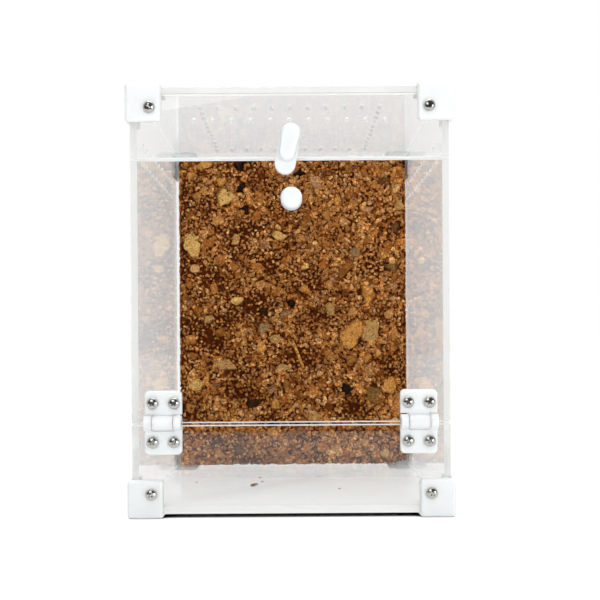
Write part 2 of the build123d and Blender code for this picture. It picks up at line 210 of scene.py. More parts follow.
@dataclass(frozen=True)
class ClearSheet(Finish):
    """Clear cast sheet, which bends and mirrors a little light and lets lamps and stray light through.

    Its cut edges and holes, whose normals lie across the sheet's own axis, are partly frosted, and so is a
    fine line along its borders, where the saw has broken the corner. A thin veil of the same frost can lie on
    its faces, from one share at the front of the box to another at the rear, and fade out over a range of
    heights. Below a seam's height the frost has the seam's darker colour.
    """

    name: str = "clear_sheet"
    across: Across = Across.DEPTH
    tint: Colour = (0.995, 1.0, 0.998)
    lamp_tint: Colour = (0.93, 0.935, 0.93)
    frost: Colour = (0.98, 0.99, 0.985)
    frost_share: float = 0.80
    middle: Place = (0.0, 0.0, 0.0)
    half: Place = (1.0, 1.0, 1.0)
    arris: Span = (0.42 * MM, 0.28 * MM)
    veil: Span = (0.0, 0.0)
    veil_reach: Span = (-60.0 * MM, 66.0 * MM)
    veil_fade: Span = (1.0, 2.0)
    seam: Span = (-1.1, -1.0)
    seam_colour: Colour = (0.40, 0.39, 0.38)
    bending: float = 1.30
    edge_facing: Span = (0.8, 0.6)
    haze: Span = (0.0, 0.015)
    hazy_smudges: Span = (0.5, 0.8)
    smudge_scale: float = 38.0
    wave_scale: float = 24.0
    wave_height: float = 0.02 * MM

    def shader(self, graph: NodeGraph) -> Socket:
        """Mixes the sheet with a see-through shader for the rays that carry light to what is behind it."""
        place = graph.place()
        smudges = graph.noise(place, self.smudge_scale, 5.0, 0.62)
        waves = graph.noise(place, self.wave_scale, 1.0, 0.4)
        sheet = graph.add("ShaderNodeBsdfPrincipled", {
            "Base Color": (*self.tint, 1.0),
            "Roughness": graph.span(smudges, self.hazy_smudges, self.haze),
            "IOR": self.bending,
            "Transmission Weight": 1.0,
            "Normal": graph.bump(waves, 1.0, self.wave_height),
        })
        axes = {0: graph.normal(), 1: self.across.value}
        facing = graph.add("ShaderNodeVectorMath", axes, operation="DOT_PRODUCT").outputs["Value"]
        on_edge = graph.span(graph.math("ABSOLUTE", facing), self.edge_facing, (0.0, self.frost_share))
        away = graph.vector("ABSOLUTE", graph.vector("SUBTRACT", place, self.middle))
        inside = graph.parts(graph.vector("SUBTRACT", self.half, away))
        border = graph.math("MINIMUM", graph.math("MINIMUM", inside["X"], inside["Y"]), inside["Z"])
        on_arris = graph.span(border, self.arris, (0.0, self.frost_share))
        spot = graph.parts(place)
        veil = graph.span(spot["Y"], self.veil_reach, self.veil)
        veil = graph.math("MULTIPLY", veil, graph.span(spot["Z"], self.veil_fade, (1.0, 0.0)))
        veiled = graph.math("MAXIMUM", on_arris, veil)
        frosted = graph.math("MAXIMUM", on_edge, veiled)
        white = graph.blend(graph.span(spot["Z"], self.seam, (1.0, 0.0)), self.frost, self.seam_colour)
        frost = graph.mix_shaders(
            0.5,
            graph.add("ShaderNodeBsdfDiffuse", {"Color": white}).outputs[0],
            graph.add("ShaderNodeBsdfTranslucent", {"Color": white}).outputs[0],
        )
        edged = graph.mix_shaders(frosted, sheet.outputs[0], frost)
        through = graph.add("ShaderNodeBsdfTransparent", {"Color": (*self.lamp_tint, 1.0)})
        rays = graph.rays()
        carries_light = graph.math("MAXIMUM", rays["Is Shadow Ray"], rays["Is Diffuse Ray"])
        return graph.mix_shaders(carries_light, edged, through.outputs[0])


@dataclass(frozen=True)
class WhiteMoulding(Finish):
    """Moulded white plastic: satin, with a fine grain, a faintly uneven white and light that goes into it.

    Faces that look down and faces that look up can let shares of the light through from their other side.
    """

    name: str = "white_moulding"
    white: Colour = (0.84, 0.865, 0.87)
    shaded_white: Colour = (0.81, 0.835, 0.84)
    roughness: Span = (0.36, 0.50)
    grain_scale: float = 2600.0
    grain_height: float = 0.012 * MM
    cloud_scale: float = 90.0
    light_depth: float = 2.0 * MM
    let_through: Span = (0.0, 0.0)
    underside: Span = (-0.9, -0.5)
    upside: Span = (0.5, 0.9)

    def shader(self, graph: NodeGraph) -> Socket:
        """Builds the satin white with its grain, and the light that comes through from its other side."""
        place = graph.place()
        clouds = graph.noise(place, self.cloud_scale, 3.0)
        grain = graph.noise(place, self.grain_scale, 2.0, 0.6)
        shaded = graph.span(clouds, (0.35, 0.7), (0.0, 1.0))
        plastic = graph.add("ShaderNodeBsdfPrincipled", {
            "Base Color": graph.blend(shaded, self.white, self.shaded_white),
            "Roughness": graph.span(clouds, NOISE_RANGE, self.roughness),
            "IOR": 1.5,
            "Subsurface Weight": 1.0,
            "Subsurface Radius": (1.0, 1.0, 1.0),
            "Subsurface Scale": self.light_depth,
            "Normal": graph.bump(grain, 0.35, self.grain_height),
        })
        below, above = self.let_through
        if not below:
            return plastic.outputs[0]
        glow = graph.add("ShaderNodeBsdfTranslucent", {"Color": (*self.white, 1.0)})
        upward = graph.parts(graph.normal())["Z"]
        under = graph.span(upward, self.underside, (below, 0.0))
        over = graph.span(upward, self.upside, (0.0, above))
        return graph.mix_shaders(graph.math("ADD", under, over), plastic.outputs[0], glow.outputs[0])


@dataclass(frozen=True)
class ScrewSteel(Finish):
    """Bright stainless steel with fine tumbled scratches."""

    name: str = "screw_steel"
    steel: Colour = (0.58, 0.57, 0.54)
    dark_steel: Colour = (0.38, 0.37, 0.34)
    roughness: Span = (0.10, 0.24)
    scratch_scale: float = 1500.0
    scratch_stretch: Place = (1.0, 1.0, 0.15)
    scratch_turn: Place = (0.3, 0.5, 0.2)
    scratch_height: float = 0.01 * MM

    def shader(self, graph: NodeGraph) -> Socket:
        """Builds the metal with its scratches and darker flecks."""
        place = graph.place()
        flecks = graph.noise(place, self.scratch_scale, 4.0, 0.65)
        along = graph.stretched(place, self.scratch_stretch, self.scratch_turn)
        scratches = graph.noise(along, self.scratch_scale, 2.0)
        darker = graph.span(flecks, (0.5, 0.75), (0.0, 1.0))
        metal = graph.add("ShaderNodeBsdfPrincipled", {
            "Base Color": graph.blend(darker, self.steel, self.dark_steel),
            "Metallic": 1.0,
            "Roughness": graph.span(flecks, NOISE_RANGE, self.roughness),
            "Normal": graph.bump(scratches, 0.3, self.scratch_height),
        })
        return metal.outputs[0]


@dataclass(frozen=True)
class CorkGrain(Finish):
    """Cork chips: each chip has its own stain, with speckles, pores, fine grit and painted shade in the gaps
    between chips.

    The grit is a pattern of small cells, each with a tone and a dark border. It is weak where pores are many.
    """

    name: str = "cork_grain"
    # dark colour for the painted shade of gaps and deep points, and for the grit's dark borders
    shade_and_crack_colour: Colour = (0.19, 0.062, 0.012)
    # colour of the pores: partly their own darker cork, partly painted shade inside them
    pit_stain_and_shade: Colour = (0.24, 0.11, 0.045)
    speckles: Span = (0.56, 1.44)
    speckle_scale: float = 1100.0
    pore_scale: float = 620.0
    pore_reach: Span = (0.38, 0.20)
    pore_drop: float = 0.6
    grit_scale: float = 450.0
    grit_tones: Span = (0.84, 1.48)
    grit_gap: Span = (0.03, 0.13)
    grit_share: float = 0.70
    grit_sway: float = 2.4 * MM
    porous: Span = (0.10, 0.55)
    porous_grit: float = 0.25
    roughness: Span = (0.78, 0.95)
    sheen_level: float = 0.02
    bump_height: float = 0.22 * MM

    def shader(self, graph: NodeGraph) -> Socket:
        """Builds the cork from each chip's stain, its painted shade by depth, and its share of pores."""
        place = graph.place()
        stain, depth, pores = graph.trait("stain", "Color"), graph.trait("depth"), graph.trait("pores")
        speckles = graph.noise(place, self.speckle_scale, 4.0, 0.7)
        bright = graph.span(speckles, NOISE_RANGE, self.speckles)
        sway = graph.add("ShaderNodeTexNoise", {"Vector": place, "Scale": self.grit_scale}).outputs["Color"]
        swayed = graph.vector("ADD", place, graph.scaled(sway, self.grit_sway))
        grits = {"Vector": swayed, "Scale": self.grit_scale}
        grit = graph.parts(graph.add("ShaderNodeTexVoronoi", grits).outputs["Color"])
        rim = graph.add("ShaderNodeTexVoronoi", grits, feature="DISTANCE_TO_EDGE").outputs["Distance"]
        plain = graph.span(pores, self.porous, (1.0, self.porous_grit))
        tone = graph.math("POWER", graph.span(grit["X"], (0.0, 1.0), self.grit_tones), plain)
        bright = graph.math("MULTIPLY", bright, tone)
        cracks = graph.math("MULTIPLY", graph.span(rim, self.grit_gap, (self.grit_share, 0.0)), plain)
        mottled = graph.scaled(stain, bright)
        # darker pores: partly the pores' own darker cork, partly painted shade inside the hollows that the
        # bump sinks
        holes = {"Vector": place, "Scale": self.pore_scale}
        away = graph.add("ShaderNodeTexVoronoi", holes).outputs["Distance"]
        pits = graph.math("MULTIPLY", graph.span(away, self.pore_reach, (0.0, 1.0)), pores)
        pitted = graph.blend(pits, mottled, graph.blend(1.0, mottled, self.pit_stain_and_shade, "MULTIPLY"))
        # painted shade: the depth trait darkens the gaps between chips and points deep under the face; the
        # grit's cracks share this dark colour
        gaps = graph.blend(1.0, pitted, self.shade_and_crack_colour, "MULTIPLY")
        relief = graph.math("SUBTRACT", speckles, graph.math("MULTIPLY", pits, self.pore_drop))
        cork = graph.add("ShaderNodeBsdfPrincipled", {
            "Base Color": graph.blend(graph.math("MAXIMUM", depth, cracks), pitted, gaps),
            "Roughness": graph.span(speckles, NOISE_RANGE, self.roughness),
            "Specular IOR Level": self.sheen_level,
            "Normal": graph.bump(relief, 0.5, self.bump_height),
        })
        return cork.outputs[0]


@dataclass(frozen=True)
class WhiteFloor(Finish):
    """The white floor: white to the camera, with painted shade only where the box stands close over it.

    To rays that gloss has mirrored, its part in front of the box is dark, as a room behind a camera is.
    """

    name: str = "white_floor"
    white: Colour = (1.0, 1.0, 1.0)
    reach: float = 12.0 * MM
    painted_contact_shade: Span = (0.10, 0.46)
    level: float = 1.1
    lit_share: float = 0.12
    matt_white: Colour = (0.9, 0.9, 0.9)
    front_edge: Span = (-440.0 * MM, -380.0 * MM)
    dark_front: float = 0.04
    seen_through: float = 1.12

    def shader(self, graph: NodeGraph) -> Socket:
        """Mixes plain white for what looks at the floor with a matt white that takes the shadows; both carry
        painted shade where the box is close.
        """
        matt = graph.add("ShaderNodeBsdfDiffuse", {"Color": (*self.matt_white, 1.0)})
        # painted shade: ambient occlusion within the reach darkens the floor under and right beside the box
        nearness = graph.add("ShaderNodeAmbientOcclusion", {"Distance": self.reach}, samples=12)
        painted_contact_shade = graph.span(nearness.outputs["AO"], self.painted_contact_shade, (0.0, 1.0))
        bright = graph.math("MULTIPLY", painted_contact_shade, self.level)
        seen = graph.add("ShaderNodeEmission", {"Color": (*self.white, 1.0), "Strength": bright})
        taken = graph.add("ShaderNodeBsdfDiffuse", {"Color": painted_contact_shade})
        shadowed = graph.mix_shaders(self.lit_share, seen.outputs[0], taken.outputs[0])
        depth = graph.parts(graph.place())["Y"]
        rays = graph.rays()
        mirrored = graph.span(depth, self.front_edge, (self.dark_front, 1.0))
        strength = graph.span(rays["Glossy Depth"], (0.0, 1.0), (self.seen_through, mirrored))
        behind = graph.add("ShaderNodeEmission", {"Color": (*self.white, 1.0), "Strength": strength})
        first = graph.mix_shaders(rays["Is Camera Ray"], matt.outputs[0], shadowed)
        return graph.mix_shaders(graph.bent(rays), first, behind.outputs[0])


def dress(names: Iterable[str], finish: Finish) -> None:
    """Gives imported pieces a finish.

    Args:
        names: the pieces' node names.
        finish: the finish that they get.
    """
    for name in names:
        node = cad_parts[name]
        for held in node.material_slots:
            held.material = finish.material()
        LOG.info("dressed %s in %s", name, finish.name)


def add_piece(
    name: str,
    points: np.ndarray,
    faces: np.ndarray,
    finish: Finish,
    traits: dict[str, np.ndarray] | None = None,
) -> bpy.types.Object:
    """Makes a mesh piece at the origin, with its place in its points.

    Args:
        name: the piece's name.
        points: its points, one row of three each, in metres.
        faces: its faces, one row of point numbers each, counter-clockwise from outside.
        finish: its finish.
        traits: values of its points that the finish reads, by name.

    Returns:
        The new object.
    """
    mesh = bpy.data.meshes.new(name)
    mesh.from_pydata(points, [], faces)
    for trait, values in (traits or {}).items():
        kind, field = ("FLOAT_VECTOR", "vector") if values.ndim == 2 else ("FLOAT", "value")
        mesh.attributes.new(trait, kind, "POINT").data.foreach_set(field, values.astype(np.float32).ravel())
    mesh.materials.append(finish.material())
    mesh.update()
    piece = bpy.data.objects.new(name, mesh)
    bpy.context.scene.collection.objects.link(piece)
    return piece


def box_shell(cuts: tuple[int, int, int]) -> tuple[np.ndarray, np.ndarray]:
    """Makes the skin of a box that runs from -1 to 1 along each axis.

    Each of its six sides is a grid of two parameters, with the third coordinate held at -1 or 1. Sides share
    the points along their edges, which are matched by their whole-number places on the grid.

    Args:
        cuts: how many squares the box has along each axis.

    Returns:
        The points and the square faces.
    """
    corners, squares, count = [], [], 0
    for axis in range(3):
        first, second = (axis + 1) % 3, (axis + 2) % 3
        wide, high = cuts[first], cuts[second]
        across, up = np.meshgrid(np.arange(wide + 1), np.arange(high + 1), indexing="ij")
        number = np.arange((wide + 1) * (high + 1)).reshape(wide + 1, high + 1)
        square = np.stack([number[:-1, :-1], number[1:, :-1], number[1:, 1:], number[:-1, 1:]], -1)
        square = square.reshape(-1, 4)
        for side in (0, cuts[axis]):
            spots = np.empty((number.size, 3), int)
            spots[:, axis] = side
            spots[:, first] = across.ravel()
            spots[:, second] = up.ravel()
            corners.append(spots)
            squares.append((square if side else square[:, ::-1]) + count)
            count += number.size
    spots, same = np.unique(np.concatenate(corners), axis=0, return_inverse=True)
    return spots / np.array(cuts) * 2.0 - 1.0, same.reshape(-1)[np.concatenate(squares)]


def waves(points: np.ndarray, length: float, rng: np.random.Generator, count: int = 24) -> np.ndarray:
    """Gives a smooth random value at each point: the mean of cosine waves that run in random directions.

    Args:
        points: the points, in metres.
        length: the waves' mean length, in metres.
        rng: the random numbers to draw from.
        count: how many waves to add up.

    Returns:
        One value for each point, mostly from -1 to 1.
    """
    ways = rng.normal(size=(count, 3))
    ways /= np.linalg.norm(ways, axis=1, keepdims=True)
    turns = 2.0 * np.pi / (length * rng.uniform(0.6, 1.6, count))
    starts = rng.uniform(0.0, 2.0 * np.pi, count)
    return np.cos(points @ (ways * turns[:, None]).T + starts).sum(1) / math.sqrt(count)


class Stain(Enum):
    """Colours of cork, in linear light."""

    BLACK = (0.020, 0.010, 0.006)
    DARK = (0.052, 0.020, 0.008)
    UMBER = (0.150, 0.062, 0.022)
    RED = (0.270, 0.095, 0.020)
    OLIVE = (0.240, 0.125, 0.036)
    GREY = (0.320, 0.185, 0.085)
    ORANGE = (0.620, 0.290, 0.068)
    TAN = (0.500, 0.280, 0.096)
    YELLOW = (0.680, 0.410, 0.130)
    PINK = (0.500, 0.260, 0.120)


@dataclass(frozen=True)
class BoardFace:
    """One face of the cork board: a corner, the ways along it, its size and how far chips may stand out."""

    corner: Place
    across: Place
    up: Place
    width: float
    height: float
    limit: float

    def axes(self) -> np.ndarray:
        """Gives the ways across, up and out as the columns of a matrix."""
        across, up = np.array(self.across), np.array(self.up)
        return np.stack([across, up, np.cross(across, up)], 1)


@dataclass
class Heap:
    """Chips to be joined into one piece: points by chip, one chip's faces and what the finish reads."""

    points: np.ndarray
    faces: np.ndarray
    stain: np.ndarray
    depth: np.ndarray
    pores: np.ndarray

    def piece(self, name: str, finish: Finish) -> bpy.types.Object:
        """Joins the chips into one piece.

        Args:
            name: the piece's name.
            finish: the piece's finish.

        Returns:
            The piece.
        """
        count, each = self.points.shape[:2]
        faces = self.faces[None] + (np.arange(count) * each)[:, None, None]
        traits = {
            "stain": np.repeat(self.stain, each, axis=0),
            "depth": self.depth.reshape(-1),
            "pores": np.repeat(self.pores, each),
        }
        return add_piece(name, self.points.reshape(-1, 3), faces.reshape(-1, 4), finish, traits)


def cut_chips(
    count: int, cuts: tuple[int, int, int], planes: int, rng: np.random.Generator
) -> tuple[np.ndarray, np.ndarray]:
    """Makes angular chips about the origin, each of them one wide along each axis.

    A chip is what a set of random planes cut off around its middle. In each direction from the middle its
    skin lies where the nearest of those planes does: the plane's distance divided by the cosine between its
    normal and the direction.

    Args:
        count: how many chips to make.
        cuts: how many squares the shell that each chip starts from has along each axis.
        planes: how many planes cut each chip.
        rng: the random numbers to draw from.

    Returns:
        The points, as chips by points by three, and one chip's faces.
    """
    shell, faces = box_shell(cuts)
    ways = shell / np.linalg.norm(shell, axis=1, keepdims=True)
    normals = rng.normal(size=(count, planes, 3))
    normals /= np.linalg.norm(normals, axis=2, keepdims=True)
    distances = rng.uniform(*PLANE_DISTANCES, (count, 1, planes))
    cosines = np.einsum("pk,nqk->npq", ways, normals)
    cut = distances / np.maximum(cosines, LEAST_COSINE)
    reach = np.where(cosines > LEAST_COSINE, cut, LARGEST_REACH)
    points = ways[None] * reach.min(2)[:, :, None]
    return points / (points.max(1) - points.min(1))[:, None, :], faces


def turns(spin: np.ndarray, heading: np.ndarray, tip: np.ndarray) -> np.ndarray:
    """Gives turns: a spin about the third axis, then a lean about a line square to that axis.

    Args:
        spin: the spins' angles.
        heading: the angles of the lines that the leans are about.
        tip: the leans' angles.

    Returns:
        The turns, as matrices of three by three.
    """
    zero, one = np.zeros_like(spin), np.ones_like(spin)
    spun = np.stack([np.cos(spin), -np.sin(spin), zero, np.sin(spin), np.cos(spin), zero, zero, zero, one], 1)
    x, y, c, s = np.cos(heading), np.sin(heading), np.cos(tip), np.sin(tip)
    leant = np.stack([
        c + x * x * (1 - c), x * y * (1 - c), y * s,
        x * y * (1 - c), c + y * y * (1 - c), -x * s,
        -y * s, x * s, c,
    ], 1)
    return leant.reshape(-1, 3, 3) @ spun.reshape(-1, 3, 3)


@dataclass(frozen=True)
class ChipBatch:
    """Cork chips of one range of sizes, strewn over faces of the board.

    The fields give the piece's name, the faces, the step between chips, the range of diameters, how coarse
    the ground has to be, the height of the chips' middles over the face, how thick, long, tilted and bright
    they are, how many planes cut each one, the squares of the shell that they are cut from, and the seed.
    """

    piece: str
    faces: tuple[str, ...]
    spacing: float
    diameters: Span
    coarse: float = 0.0
    level: Span = (-1.1 * MM, 0.1 * MM)
    flatness: Span = (0.55, 0.9)
    stretch: Span = (1.0, 1.5)
    lean: float = 0.5
    tone: Span = (0.5, 0.2)
    planes: int = 8
    cuts: tuple[int, int, int] = (2, 2, 1)
    seed: int = 1


@dataclass(frozen=True)
class Lump:
    """One chip with a place of its own, in millimetres from the board's lower left corner.

    The fields give its middle, its size, its stain, its turn in degrees counter-clockwise, the share of its
    skin that is pitted, and how far it stands out of the board's face.
    """

    x: float
    z: float
    wide: float
    high: float
    stain: Stain
    turn: float = 0.0
    pits: float = 0.25
    proud: float = 0.3


class CorkBoard:
    """The granulated cork back: a rough core, chips of several sizes over it, lumps and loose crumbs."""

    core_cell = 1.35 * MM
    core_drop = 1.2 * MM
    core_roughness = 0.6 * MM
    core_rear_share = 0.2
    core_rear_tone = (0.45, 0.2)
    core_tone = 0.2
    # painted shade of the core's front and of its rear face
    core_shade = 0.80
    core_rear_shade = 0.20
    core_seed = 5
    edge_radius = 2.2 * MM
    rear_drop = 0.35 * MM
    side_room = 0.45 * MM
    bottom_room = -0.04 * MM
    front_room = -3.0 * MM
    rear_room = 0.05 * MM
    top_room = 0.05 * MM
    face_limits = (0.7 * MM, -0.1 * MM, -0.02 * MM)
    soft_limit = 0.3 * MM
    press = 0.12
    broken_corner = (62.5 * MM, 5.1 * MM, 71.0 * MM, 9.0 * MM)
    core_past_corner = 0.8 * MM
    chips_past_corner = 0.2 * MM

    # painted shade: points get darker with depth under the face and down their own chip's sides
    shade_from = -0.30 * MM
    dark_depth = 0.90 * MM
    rim_shade = 0.85
    rear_rim_share = 0.3
    rim_slope = 1.9
    rim_start = 0.45

    coarse_base = 0.45
    coarse_right = 0.35
    coarse_ends = 0.5
    fine_height = 0.52
    fine_band = 0.25
    coarse_cloud = 22.0 * MM
    coarse_cloud_share = 0.28
    coarse_seed = 31
    coarse_blur = 0.12
    tone_cloud = 17.0 * MM
    tone_cloud_share = 0.07
    tone_seed = 33
    jitter = 0.48
    rear_spacing = 1.6
    rear_size = 1.5
    fine_size = 0.55
    small_bias = 1.5
    foot_share = 0.3
    pore_share = 0.5

    hue_change = (-0.01, 0.055, 0.14)
    grey_chance = 0.06
    grey_share = 0.35
    grey_tint = (1.15, 0.92, 0.72)
    tones = (0.0, 0.16, 0.38, 0.60, 0.80, 1.0)
    tone_colours = (
        (0.060, 0.011, 0.001),
        (0.150, 0.037, 0.004),
        (0.300, 0.098, 0.018),
        (0.440, 0.175, 0.043),
        (0.600, 0.282, 0.086),
        (0.740, 0.400, 0.146),
    )

    batches = (
        ChipBatch(
            "cork_crumbs", ("front",), 1.65 * MM, (1.0 * MM, 1.9 * MM), level=(-1.55 * MM, -1.05 * MM),
            stretch=(1.0, 1.7), lean=0.9, tone=(0.40, 0.14), planes=6, cuts=(1, 1, 1), seed=21,
        ),
        ChipBatch(
            "cork_top_crumbs", ("front",), 1.92 * MM, (1.2 * MM, 2.1 * MM), level=(-0.80 * MM, -0.15 * MM),
            flatness=(0.5, 0.8), stretch=(1.1, 1.8), lean=0.9, tone=(0.62, 0.17), planes=6, cuts=(2, 2, 1),
            seed=25,
        ),
        ChipBatch(
            "cork_grains", ("front",), 3.4 * MM, (1.9 * MM, 3.5 * MM), coarse=0.32,
            level=(-0.85 * MM, -0.20 * MM), stretch=(1.1, 1.8), lean=0.7, tone=(0.65, 0.18), planes=6,
            cuts=(3, 3, 2), seed=22,
        ),
        ChipBatch(
            "cork_chips", ("front",), 6.0 * MM, (3.0 * MM, 5.2 * MM), coarse=0.55,
            level=(-1.0 * MM, -0.40 * MM), flatness=(0.45, 0.75), stretch=(1.1, 1.7), tone=(0.65, 0.18),
            planes=7, cuts=(4, 4, 2), seed=23,
        ),
        ChipBatch(
            "cork_edge_chips", ("left", "right", "top", "rear"), 2.6 * MM, (2.4 * MM, 4.0 * MM),
            level=(-1.4 * MM, -0.8 * MM), cuts=(2, 2, 1), seed=24,
        ),
    )

    lumps = (
        Lump(109.0, 81.5, 15.0, 20.0, Stain.ORANGE, -15.0, 0.45, 0.9),
        Lump(121.0, 83.5, 14.0, 15.0, Stain.TAN, 20.0, 0.4, 0.8),
        Lump(118.5, 106.7, 15.0, 12.5, Stain.ORANGE, -35.0, 0.12, 0.7),
        Lump(29.4, 167.7, 14.0, 13.0, Stain.YELLOW, 10.0, 0.5, 0.7),
        Lump(7.8, 137.9, 13.0, 15.0, Stain.YELLOW, -20.0, 0.5, 0.6),
        Lump(86.0, 176.6, 7.5, 13.0, Stain.PINK, 28.0, 0.2, 0.5),
        Lump(118.2, 159.8, 12.5, 5.5, Stain.PINK, 5.0, 0.15, 0.5),
        Lump(138.6, 162.9, 6.2, 7.2, Stain.TAN, 0.0, 0.2, 0.3),
        Lump(104.0, 122.7, 7.5, 18.0, Stain.RED, -28.0, 0.2, 0.5),
        Lump(78.8, 124.0, 5.5, 5.5, Stain.YELLOW, 0.0, 0.1, 0.6),
        Lump(63.0, 143.6, 11.5, 7.5, Stain.YELLOW, -10.0, 0.4, 0.6),
        Lump(93.9, 98.2, 7.5, 8.5, Stain.TAN, 15.0, 0.3, 0.5),
        Lump(110.7, 133.4, 8.0, 7.5, Stain.GREY, 0.0, 0.2, 0.4),
        Lump(51.3, 73.4, 8.0, 8.0, Stain.ORANGE, 20.0, 0.2, 0.6),
        Lump(60.2, 78.6, 8.5, 6.0, Stain.TAN, -15.0, 0.2, 0.5),
        Lump(52.7, 85.6, 8.0, 9.0, Stain.GREY, 0.0, 0.25, 0.4),
        Lump(60.3, 38.1, 6.5, 8.0, Stain.ORANGE, 10.0, 0.15, 0.7),
        Lump(121.4, 44.4, 10.0, 14.5, Stain.OLIVE, 12.0, 0.1, 0.6),
        Lump(132.2, 48.2, 9.0, 12.5, Stain.ORANGE, -8.0, 0.3, 0.5),
        Lump(10.7, 50.4, 11.0, 10.0, Stain.YELLOW, 0.0, 0.55, 0.5),
        Lump(29.3, 62.2, 16.0, 8.0, Stain.TAN, -8.0, 0.3, 0.5),
        Lump(57.6, 20.9, 8.5, 6.0, Stain.ORANGE, -20.0, 0.15, 0.5),
        Lump(128.4, 5.0, 8.0, 8.5, Stain.YELLOW, 0.0, 0.15, 0.6),
        Lump(36.2, 102.6, 8.5, 5.0, Stain.YELLOW, 12.0, 0.2, 0.4),
        Lump(15.6, 188.0, 10.6, 7.5, Stain.ORANGE, -5.0, 0.35, 0.4),
        Lump(26.8, 177.6, 6.5, 6.5, Stain.ORANGE, 30.0, 0.1, 0.6),
        Lump(100.3, 165.2, 5.0, 6.8, Stain.ORANGE, 0.0, 0.1, 0.5),
        Lump(133.1, 123.9, 13.0, 8.0, Stain.OLIVE, -12.0, 0.2, 0.4),
        Lump(63.8, 60.7, 12.0, 6.6, Stain.TAN, 8.0, 0.2, 0.4),
        Lump(18.0, 91.0, 8.0, 6.0, Stain.TAN, 25.0, 0.3, 0.3),
        Lump(84.0, 30.5, 9.0, 7.0, Stain.TAN, -25.0, 0.3, 0.3),
        Lump(38.1, 188.5, 8.0, 10.0, Stain.DARK, 10.0, 0.1, 0.2),
        Lump(39.5, 173.5, 7.0, 9.0, Stain.BLACK, -20.0, 0.1, 0.1),
        Lump(75.9, 182.6, 11.0, 5.5, Stain.BLACK, -8.0, 0.1, -0.2),
        Lump(136.7, 148.4, 8.5, 8.0, Stain.UMBER, 0.0, 0.1, 0.0),
        Lump(52.7, 96.5, 8.5, 6.0, Stain.DARK, 0.0, 0.1, -0.1),
        Lump(45.1, 38.2, 10.0, 7.0, Stain.DARK, 15.0, 0.1, 0.0),
        Lump(104.9, 47.2, 8.5, 7.5, Stain.BLACK, 0.0, 0.1, -0.1),
        Lump(36.9, 9.1, 8.5, 7.0, Stain.UMBER, 0.0, 0.1, 0.0),
        Lump(41.0, 160.0, 7.0, 6.0, Stain.BLACK, 0.0, 0.0, 0.0),
        Lump(70.5, 101.0, 6.0, 5.5, Stain.BLACK, 0.0, 0.0, 0.0),
        Lump(128.0, 178.0, 9.0, 6.5, Stain.UMBER, 30.0, 0.1, 0.1),
        Lump(74.75, 68.5, 1.9, 23.0, Stain.ORANGE, 21.8, 0.0, 1.1),
    )
    row_step = 14.0
    row_margin = 9.0
    row_sway = 2.6
    row_size = (6.6, 1.2)
    row_clearance = 4.5
    lump_cuts = (12, 12, 4)
    lump_root = 1.0 * MM
    lump_cover = 0.84
    lump_limit = 2.0 * MM
    lump_planes = 12
    lump_rim_shade = 0.38
    lump_wave = 3.4 * MM
    lump_wave_share = 0.035
    lump_seed = 41
    row_tone = (0.56, 0.15)
    row_pits = (0.0, 0.35)
    row_proud = (0.3, 1.0)
    pit_length = 2.0 * MM
    pit_depth = 0.6 * MM
    pit_shade = 0.8
    pit_start = (1.5, 1.2)
    pit_slope = 1.8
    least_pits = 0.05
    lump_pores = (0.15, 0.9)

    loose = (
        (-20.5, -15.4, 3.8), (-18.4, 11.8, 1.4), (-16.7, -2.2, 1.2), (-52.7, -2.2, 1.0),
        (5.6, 22.9, 0.9), (24.7, -24.9, 1.1), (-31.0, 20.5, 0.8),
    )
    loose_form = (1.15, 0.9, 0.45)
    loose_cuts = (4, 4, 3)
    loose_planes = 10
    loose_spin = 0.6
    loose_seed = 51

    def __init__(self) -> None:
        """Reads the board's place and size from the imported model."""
        low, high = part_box("cork_back")
        self.low, self.high = np.array(low), np.array(high)
        self.finish = CorkGrain()

    def faces(self) -> dict[str, BoardFace]:
        """Gives the faces that carry chips, by name."""
        (x0, y0, z0), (x1, y1, z1) = self.low, self.high
        wide, deep, high = self.extent
        front, top, rear = self.face_limits
        return {
            "front": BoardFace((x0, y0, z0), (1, 0, 0), (0, 0, 1), wide, high, front),
            "left": BoardFace((x0, y1, z0), (0, -1, 0), (0, 0, 1), deep, high, -self.side_room),
            "right": BoardFace((x1, y0, z0), (0, 1, 0), (0, 0, 1), deep, high, -self.side_room),
            "top": BoardFace((x0, y0, z1), (1, 0, 0), (0, 1, 0), wide, deep, top),
            "rear": BoardFace((x1, y1, z0), (-1, 0, 0), (0, 0, 1), wide, high, rear),
        }

    def past_corner(self, points: np.ndarray) -> tuple[np.ndarray, np.ndarray]:
        """Measures how far points lie past the line that the crumbled lower right corner leaves.

        Args:
            points: the points.

        Returns:
            The distance past the line, negative on the board's side, and the line's normal.
        """
        x0, z0, x1, z1 = self.broken_corner
        normal = np.array([z1 - z0, 0.0, x0 - x1])
        normal /= np.linalg.norm(normal)
        return (points - np.array([x0, 0.0, z0])) @ normal, normal

    def coarseness(self, spots: np.ndarray) -> np.ndarray:
        """Gives how coarse the board's ground is at points of its front, from 0 for fine to 1 for coarse.

        The ground is coarser to the lower right and the upper right and finer left of the middle, with clouds
        of 15 to 30 mm over that.

        Args:
            spots: the points, two numbers each from the lower left corner, in metres.

        Returns:
            One value for each point.
        """
        x, z = spots[:, 0] / self.extent[0], spots[:, 1] / self.extent[2]
        ends = np.abs(z - self.fine_height) - self.fine_band
        slope = self.coarse_base + self.coarse_right * (x - 0.5) + self.coarse_ends * ends
        rng = np.random.default_rng(self.coarse_seed)
        clouds = waves(np.pad(spots, ((0, 0), (0, 1))), self.coarse_cloud, rng)
        return np.clip(slope + self.coarse_cloud_share * clouds, 0.0, 1.0)

    @property
    def extent(self) -> np.ndarray:
        """Gives the board's width, depth and height."""
        return self.high - self.low

